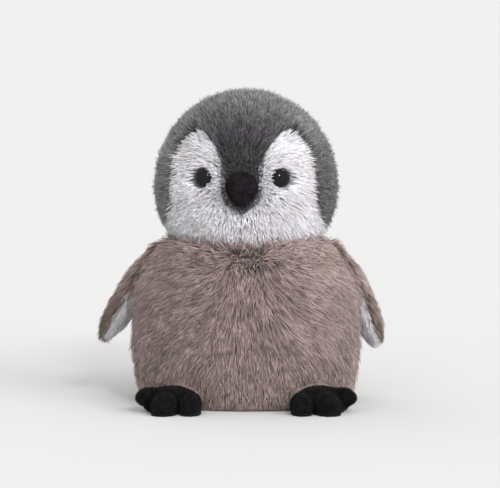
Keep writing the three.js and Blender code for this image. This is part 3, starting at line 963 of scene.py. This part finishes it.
def flipper_skin(name, inset):
    """The paddle's skin at an inset, in the flipper's own frame."""
    columns, rows = 40, 40
    rise, angle = ball_grid(rows, columns, 0.02)
    along = np.broadcast_to((1 - np.cos(rise)) / 2, (rows, columns))
    fullness = np.sin(rise) ** 0.55
    chord = FLIPPER_ROOT_CHORD + (FLIPPER_TIP_CHORD - FLIPPER_ROOT_CHORD) * along**2 - inset
    x = np.cos(angle) * fullness * (FLIPPER_HALF_THICKNESS - inset) + flipper_middle(along, name)
    y = np.sin(angle) * fullness * chord
    z = FLIPPER_ABOVE_SEAM - inset - along * (FLIPPER_LENGTH + FLIPPER_ABOVE_SEAM - 2 * inset)
    return np.stack([x, y, z], axis=-1).reshape(-1, 3), grid_faces(rows, columns)


def flipper_look(share, outer, side):
    """A flipper's fur: long and brown outside, short and white inside, and shorter at both ends."""
    end = (0.35 + 0.65 * ease(1.0, 0.7, share)) * (0.45 + 0.55 * ease(0.0, 0.3, share))
    return {
        "seed": 300 + side,
        "length": np.where(outer, 12.0, 9.0) * (0.4 + 0.6 * end),
        "lift": np.where(outer, 5.2, 4.6) * end,
        "width": np.where(outer, 0.19, 0.17)[:, None],
        "mess": np.where(outer, 0.17, 0.34)[:, None],
        "bow": 0.8, "curve": 1.2, "locks": 0.04, "tufts": 0.2, "gather": 0.35,
        "zone": np.where(outer, ease(0.3, 0.9, share), 0.0),
    }


def add_flipper(name):
    side = SIDES[name]
    body = f"flipper_{name}"
    points, faces = flipper_skin(name, 1.8)
    roots, normals = sample_roots(points, faces, skin_normals(points, faces), BROWN_DENSITY, 30 + side)
    share = flipper_share(roots)
    kept = share > 0.015
    roots, normals, share = roots[kept], normals[kept], share[kept]
    wrap = 2.6 * ease(0.5, 0.25, share)  # near the root, brown fur reaches round both edges
    outer = side * (roots[:, 0] - flipper_middle(share, name)) > -0.6 - wrap
    outer &= share < FLIPPER_WHITE_FROM[name]
    flows = np.zeros_like(roots)
    flows[:, 2] = -1
    flows[:, 1] = 0.012 * roots[:, 1]
    world_roots = flipper_place(roots, name)
    world_normals = flipper_place(roots + normals, name) - world_roots
    world_flows = flipper_place(roots + flows, name) - world_roots
    strands = grow(world_roots, world_normals, world_flows, flipper_look(share, outer, side))
    for part, chosen, material, knit, slot in (
        ("outer", outer, BROWN_FUR, BROWN_KNIT, "body_fur"),
        ("inner", ~outer, WHITE_FUR, WHITE_KNIT, "white_fur"),
    ):
        node = f"{body}_{part}"
        add_coat(node + "_fur", strands, chosen, body, slot, material, node)
        make_backing(node, lambda at: flipper_thin(at, name), knit, body, slot)


def flipper_thin(points, name):
    """Brings a flipper panel's outer face in to the backing, towards the paddle's middle sheet."""
    local = flipper_unplace(points, name)
    middle = flipper_middle(flipper_share(local), name)
    local[:, 0] = middle + (local[:, 0] - middle) * 0.8
    local[:, 1] *= 0.93
    local[:, 2] = -33 + (local[:, 2] + 33) * 0.96
    return flipper_place(local, name)


# ---- velour, plastic, fibre and thread ----

def mottled_material(name, roughness, scale, dark, light, stops=(0.3, 0.7), bumps=None, levels=None):
    """One stuff whose colour varies between two tones; bumps give scale, detail, strength and depth."""
    material, tree, shader = new_material(name, roughness)
    tones = [(stops[0], srgb(*dark)), (stops[1], srgb(*light))]
    tree.links.new(ramp(tree, noise(tree, *scale), tones), shader.inputs["Base Color"])
    if bumps:
        bump_scale, detail, strength, depth = bumps
        bump(tree, shader, noise(tree, bump_scale, detail), strength, depth)
    for level, value in (levels or {}).items():
        shader.inputs[level].default_value = value
    return material


def velour_material(name, dark, light):
    """Short dense pile: near black, with a soft grey edge where the pile is seen from the side."""
    levels = {"Sheen Weight": 0.04, "Sheen Roughness": 0.4, "Specular IOR Level": 0.1}
    return mottled_material(name, 0.9, [260], dark, light, (0.35, 0.7), (2600, 2, 0.4, 0.25), levels)


def satin_material():
    """Woven satin ribbon, with a sheen and fine cross threads."""
    material, tree, shader = new_material("label_satin", 0.34)
    place = tree.nodes.new("ShaderNodeTexCoord")
    threads = tree.nodes.new("ShaderNodeTexWave")
    threads.bands_direction = "Z"
    threads.inputs["Scale"].default_value = 900
    tree.links.new(place.outputs["Object"], threads.inputs["Vector"])
    woven = ramp(tree, threads.outputs["Fac"], [(0.0, srgb(226, 225, 222)), (1.0, srgb(246, 246, 244))])
    tree.links.new(woven, shader.inputs["Base Color"])
    bump(tree, shader, threads.outputs["Fac"], 0.3, 0.05)
    shader.inputs["Sheen Weight"].default_value = 0.3
    return material


VELOUR = velour_material("black_velour", (5, 4, 5), (17, 15, 17))
BEAK_VELOUR = velour_material("beak_velour", (19, 15, 19), (44, 37, 43))
GLOSS = mottled_material(
    "eye_plastic", 0.06, [300], (5, 4, 4), (12, 9, 8), levels={"Specular IOR Level": 0.25})
WASHER_PLASTIC = mottled_material(
    "washer_plastic", 0.42, [400], (214, 212, 204), (232, 230, 224), bumps=(900, 3, 0.15, 0.05))
FIBRE = mottled_material(
    "fibre_filling", 0.95, [900, 6], (206, 205, 200), (246, 246, 243), (0.3, 0.65), (900, 6, 0.8, 0.8),
    {"Sheen Weight": 0.4})
THREAD = mottled_material(
    "sewing_thread", 0.7, [1500], (66, 63, 66), (104, 100, 102), bumps=(1500, 3, 0.4, 0.1))
SATIN = satin_material()
POUCH_CLOTH = cloth_material("pouch_cloth", (232, 230, 222), (196, 193, 184), 420, 0.12)


# ---- soft forms ----

def inflate(piece, pressure, frames, cap):
    """Lets cloth swell under pressure, with no point moving further than the cap, then keeps the result."""
    start = get_points(piece.data)
    cloth = piece.modifiers.new("swell", "CLOTH")
    cloth.settings.quality = 5
    cloth.settings.use_pressure = True
    cloth.settings.uniform_pressure_force = pressure
    cloth.settings.effector_weights.gravity = 0
    scene = bpy.context.scene
    scene.frame_start = 1
    scene.frame_end = frames
    for step in range(1, frames + 1):
        scene.frame_set(step)
    apply_modifiers(piece)
    scene.frame_set(1)
    swollen = get_points(piece.data)
    move = swollen - start
    distance = np.linalg.norm(move, axis=1, keepdims=True)
    set_points(piece.data, start + move * np.minimum(1, cap / np.maximum(distance, 1e-6)))
    return piece


def lumps(points, size, seed):
    """Soft lumps of about the given size, from 0 to 1, as a sum of waves in fixed directions."""
    rng = np.random.default_rng(seed)
    total = np.zeros(len(points))
    for _ in range(9):
        direction = unit(rng.normal(size=3)) * 2 * math.pi / (size * rng.uniform(0.8, 1.6))
        total += np.sin(points @ direction + rng.uniform(0, 2 * math.pi))
    return np.clip(0.5 + total / 9, 0, 1)


def add_filling(node, body, voxel, tuft):
    """Fibre filling: the room it fills, rounded off and with tufts sunk into its surface."""
    piece = link(frame["nodes"][node].data.copy(), node + "_fibre")
    remesh(piece, voxel, smooth_steps=4)
    points, normals = get_points(piece.data), get_normals(piece.data)
    broad = 0.12 * tuft * lumps(points, tuft, len(node))
    fine = 0.25 * voxel * lumps(points, tuft / 4, 5)
    set_points(piece.data, points - normals * (0.2 + broad + fine)[:, None])
    add_piece(piece, body, "fibrefill", FIBRE, node)


def add_pouch():
    """A cotton bag that slumps, with the pellets inside showing as small bumps."""
    piece = link(frame["nodes"]["pellet_pouch"].data.copy(), "pellet_pouch_bag")
    pellet, dent, shrink = 3.4, 0.7, 0.975
    remesh(piece, voxel=1.3, smooth_steps=4)
    points = get_points(piece.data)
    middle = (points.min(axis=0) + points.max(axis=0)) / 2
    set_points(piece.data, middle + (points - middle) * shrink)
    inflate(piece, pressure=2.0, frames=12, cap=0.7)
    points, normals = get_points(piece.data), get_normals(piece.data)
    set_points(piece.data, points - normals * (dent * lumps(points, pellet, 9))[:, None])
    add_piece(piece, "torso", "pouch_cloth", POUCH_CLOTH, "pellet_pouch")


# ---- feet ----

SOLE = 1.2  # thickness
SEAM_GAP = 0.3
FOOT_AHEAD = 0.5  # how far the foot's seam lies ahead of the body
FOOT_INSET = 0.7  # room that the swelling velour and its pile take up


def ellipsoid(centre, radii, splay, side):
    """One lump of a foot in the row frame."""
    columns, rows = 32, 20
    rise = np.linspace(-math.pi / 2 + 0.01, math.pi / 2 - 0.01, rows)[:, None]
    angle = full_turn(columns)[None, :]
    ball = np.stack([np.cos(rise) * np.cos(angle), np.cos(rise) * np.sin(angle),
                     np.broadcast_to(np.sin(rise), (rows, columns))], axis=-1).reshape(-1, 3)
    lump = turned(ball * radii, "Z", side * splay) + np.array(centre, float) * [side, 1, 1]
    return foot_place(lump, side), capped_faces(rows, columns)


def foot_form(side, inset, name):
    """The foot's lumps as one mesh of overlapping balls, which remesh then joins."""
    points, faces = [], []
    for centre, radii, splay in FOOT_LUMPS:
        lump, quads = ellipsoid(centre, np.array(radii) - inset, splay, side)
        faces += [tuple(i + sum(len(p) for p in points) for i in quad) for quad in quads]
        points.append(lump)
    return make_mesh(name, np.vstack(points), faces)


def ahead_of_torso(points):
    """Moves points that would be inside the body forward to its surface, where the foot's seam is."""
    half_width = torso_half_width(points[:, 2]) + FOOT_AHEAD
    share = np.clip(np.abs(points[:, 0]) / half_width, 0, 0.98)
    front = -half_width * TORSO_DEPTH_LOW * (1 - share**TORSO_SQUARENESS) ** (1 / TORSO_SQUARENESS)
    points[:, 1] = np.minimum(points[:, 1], front)
    return points


def add_pile(piece, name, density, length, keep, seed, body, node, material):
    """Short pile on a finished form, as many small strands."""
    mesh = piece.data
    mesh.calc_loop_triangles()
    triangles = np.zeros(len(mesh.loop_triangles) * 3, np.int32)
    mesh.loop_triangles.foreach_get("vertices", triangles)
    triangles = triangles.reshape(-1, 3)
    quads = np.hstack([triangles, triangles[:, 2:]])
    roots, normals = sample_roots(get_points(mesh), quads, get_normals(mesh), density, seed)
    kept = keep(roots)
    roots, normals = roots[kept], normals[kept]
    look = {
        "seed": seed, "length": length, "lift": length * 0.85, "width": 0.1, "mess": 0.6, "bow": 0.1,
        "curve": 1.0, "locks": 0.1, "tufts": 0.3, "gather": 0.2,
    }
    flows = np.broadcast_to(np.array([0.0, -0.6, -0.8]), roots.shape)
    strands = grow(roots - normals * 0.1, normals, flows, look)
    add_coat(name, strands, np.ones(len(roots), bool), body, "velour", material, node)


def add_foot(name):
    side = SIDES[name]
    body = f"foot_{name}"
    upper = foot_form(side, FOOT_INSET, f"{body}_velour")
    remesh(upper, voxel=0.9, smooth_steps=7)
    set_points(upper.data, ahead_of_torso(get_points(upper.data)))
    inflate(upper, pressure=3.0, frames=12, cap=0.6)
    points = get_points(upper.data)
    seam = SOLE + SEAM_GAP
    points[:, 2] = np.maximum(points[:, 2], seam + 0.15 * ease(seam + 2, seam, points[:, 2]))
    set_points(upper.data, ahead_of_torso(points))
    add_piece(upper, body, "velour", VELOUR, f"{body}_upper")
    add_pile(upper, f"{body}_pile", FOOT_PILE_DENSITY, 0.8, lambda at: at[:, 2] > seam + 0.3,
             40 + side, body, f"{body}_upper", VELOUR)
    sole = link(frame["nodes"][f"{body}_sole"].data.copy(), f"{body}_sole_velour")
    bevel = sole.modifiers.new("rounded", "BEVEL")
    bevel.width = 0.35 * MM
    bevel.segments = 2
    apply_modifiers(sole)
    add_piece(sole, body, "velour", VELOUR, f"{body}_sole")
    add_filling(f"{body}_stuffing", body, 1.0, 6.0)


# ---- beak and eyes ----

def add_beak():
    """The velour beak: an egg that droops and narrows to its tip, with a seam along each side."""
    columns, rows = 64, 40
    rise, angle = ball_grid(rows, columns, 0.02)
    radii = BEAK_RADII - 0.25
    seam_depth, seam_width = 0.5, 0.07
    seam = seam_depth * np.exp(-((np.sin(angle) / seam_width) ** 2)) * ease(0.0, 0.4, np.sin(rise))
    ball = np.stack([
        np.sin(rise) * np.cos(angle) * (radii[0] - seam),
        np.broadcast_to(-np.cos(rise) * radii[1], (rows, columns)),
        np.sin(rise) * np.sin(angle) * radii[2],
    ], axis=-1).reshape(-1, 3)
    reach = np.maximum(0, -ball[:, 1] / radii[1])
    below = np.maximum(0, -ball[:, 2] / radii[2])
    ball[:, 2] -= BEAK_DROOP * reach**2
    ball[:, 0] *= (1 - BEAK_TAPER * reach**2) * (1 - BEAK_NARROW * below)
    from_centre = ball + BEAK_ROOT
    depth = np.linalg.norm(from_centre, axis=1, keepdims=True)
    skin = HEAD_RADIUS - PLUSH + SEAM_GAP
    points = HEAD_CENTRE + from_centre * np.maximum(1, skin / depth)
    beak = face_round(make_mesh("beak_velour", points, capped_faces(rows, columns)))
    add_piece(beak, "head", "velour", BEAK_VELOUR, "beak_cover")
    add_pile(beak, "beak_pile", BEAK_PILE_DENSITY, 1.5, lambda at: at[:, 1] < -47,
             50, "head", "beak_cover", BEAK_VELOUR)


def lathe_on_eye(profile, side, name, faces_of):
    """Turns a profile of (radius, height along the eye's axis) about that axis."""
    columns = 64
    profile = np.array(profile, float)
    angle = full_turn(columns)
    axis = eye_axis(side)
    across = unit(np.cross([0.0, 0.0, 1.0], axis))
    up = np.cross(axis, across)
    spokes = np.outer(np.cos(angle), across) + np.outer(np.sin(angle), up)
    points = (profile[:, 0, None, None] * spokes + profile[:, 1, None, None] * axis).reshape(-1, 3)
    return face_round(make_mesh(name, points + HEAD_CENTRE, faces_of(len(profile), columns)))


def add_eye(name):
    """A plastic safety eye: a dome on a ribbed stem, held inside the fabric by a washer."""
    side = SIDES[name]
    stem, stem_end, groove = 2.0, 43.5, 0.35
    rim_height = 0.8
    dome = [(EYE_RADIUS * math.cos(a), EYE_SEAT + rim_height + (EYE_HEIGHT - rim_height) * math.sin(a))
            for a in np.linspace(0, math.pi / 2 - 0.02, 24)]
    stem_rings = []
    for height in np.arange(stem_end + 1, 46, 1.0):
        stem_rings += [(stem, height - 0.3), (stem - groove, height), (stem, height + 0.3)]
    profile = [(0.02, stem_end), (stem - 0.4, stem_end), (stem, stem_end + 0.4), *stem_rings,
               (stem, EYE_SEAT), (EYE_RADIUS - 0.6, EYE_SEAT), (EYE_RADIUS - 0.15, EYE_SEAT + 0.3), *dome]
    eye = lathe_on_eye(profile, side, f"eye_{name}_dome", capped_faces)
    add_piece(eye, "head", "eye_gloss", GLOSS, f"eye_{name}")
    low, high, rim, hole = 46.7, 48.1, 7.0, 2.15
    ring = [(hole, low), (rim - 0.3, low), (rim, low + 0.3), (rim, high - 0.3), (rim - 0.3, high),
            (4.4, high), (4.0, high - 0.35), (2.9, high - 0.35), (2.6, high), (hole, high)]
    washer = lathe_on_eye(ring, side, f"eye_washer_{name}_ring", ring_faces)
    add_piece(washer, "head", "eye_washer", WASHER_PLASTIC, f"eye_washer_{name}")


# ---- base, neck stitching and label ----

def add_base():
    """The flat base panel, brought in under the coat at its edge."""
    make_backing("body_base", torso_thin, BROWN_KNIT, "torso", "body_fur")


def thread_loop(name, path, radius, sides):
    """A round thread along a path that closes on itself."""
    tangent = unit(np.roll(path, -1, axis=0) - np.roll(path, 1, axis=0))
    side = unit(np.cross(tangent, [0.02, 0.01, 1.0]))
    up = np.cross(side, tangent)
    angle = full_turn(sides)
    spokes = np.cos(angle)[None, :, None] * side[:, None] + np.sin(angle)[None, :, None] * up[:, None]
    points = (path[:, None] + radius * spokes).reshape(-1, 3)
    return make_mesh(name, points, ring_faces(len(path), sides))


def add_neck_stitching():
    """Ladder stitch: one thread that steps from the head's edge to the body's edge and back."""
    low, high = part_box("neck_stitching")
    height = (low.z + high.z) / 2 / MM
    radius = (high.x - low.x) / 2 / MM - 0.8
    stitches, per_stitch = 44, 16
    turn = full_turn(stitches * per_stitch)
    step = np.tanh(3 * np.sin(turn * stitches / 2))  # from edge to edge, with a rest at each
    path = np.stack([radius * np.cos(turn), radius * np.sin(turn), height + 0.35 * step], axis=-1)
    thread = thread_loop("neck_ladder_stitch", path, 0.42, 8)
    add_piece(thread, "neck", "thread", THREAD, "neck_stitching")


def add_label():
    """A blank satin ribbon, folded at its top and sewn into the seam above the base by both ends."""
    gap, columns, rows = 0.26, 13, 72  # gap is how far each side lies from the fold's middle
    centre = label_side(LABEL_PLACE) * LABEL_REACH
    out = label_side(LABEL_FACING)
    across = label_side(LABEL_FACING + 90)
    straight = LABEL_FOLDED - gap
    half_turn = math.pi * gap
    total = 2 * straight + half_turn
    points = []
    for length in np.linspace(0, total, rows):
        if length < straight:
            rise, depth = length, -gap
        elif length > straight + half_turn:
            rise, depth = total - length, gap
        else:
            bend = (length - straight) / gap
            rise, depth = straight + gap * math.sin(bend), -gap * math.cos(bend)
        for shift in np.linspace(-LABEL_WIDTH / 2, LABEL_WIDTH / 2, columns):
            points.append(centre + out * depth + across * shift + np.array([0, 0, LABEL_LOW + rise]))
    faces = [(r * columns + c, r * columns + c + 1, (r + 1) * columns + c + 1, (r + 1) * columns + c)
             for r in range(rows - 1) for c in range(columns - 1)]
    ribbon = make_mesh("care_label_ribbon", points, faces)
    thick = ribbon.modifiers.new("thick", "SOLIDIFY")
    thick.thickness = 0.14 * MM
    thick.offset = 0
    apply_modifiers(ribbon)
    add_piece(ribbon, "torso", "label_satin", SATIN, "care_label")


# ---- the whole toy ----

add_torso()
add_head()
for flipper_name in SIDES:
    add_flipper(flipper_name)
    add_filling(f"flipper_{flipper_name}_stuffing", f"flipper_{flipper_name}", 0.9, 7.0)
for foot_name in SIDES:
    add_foot(foot_name)
add_beak()
for eye_name in SIDES:
    add_eye(eye_name)
add_filling("beak_stuffing", "head", 0.9, 5.0)
add_filling("head_stuffing", "head", 2.0, 16.0)
add_filling("body_stuffing", "torso", 2.2, 18.0)
add_pouch()
add_base()
add_neck_stitching()
add_label()
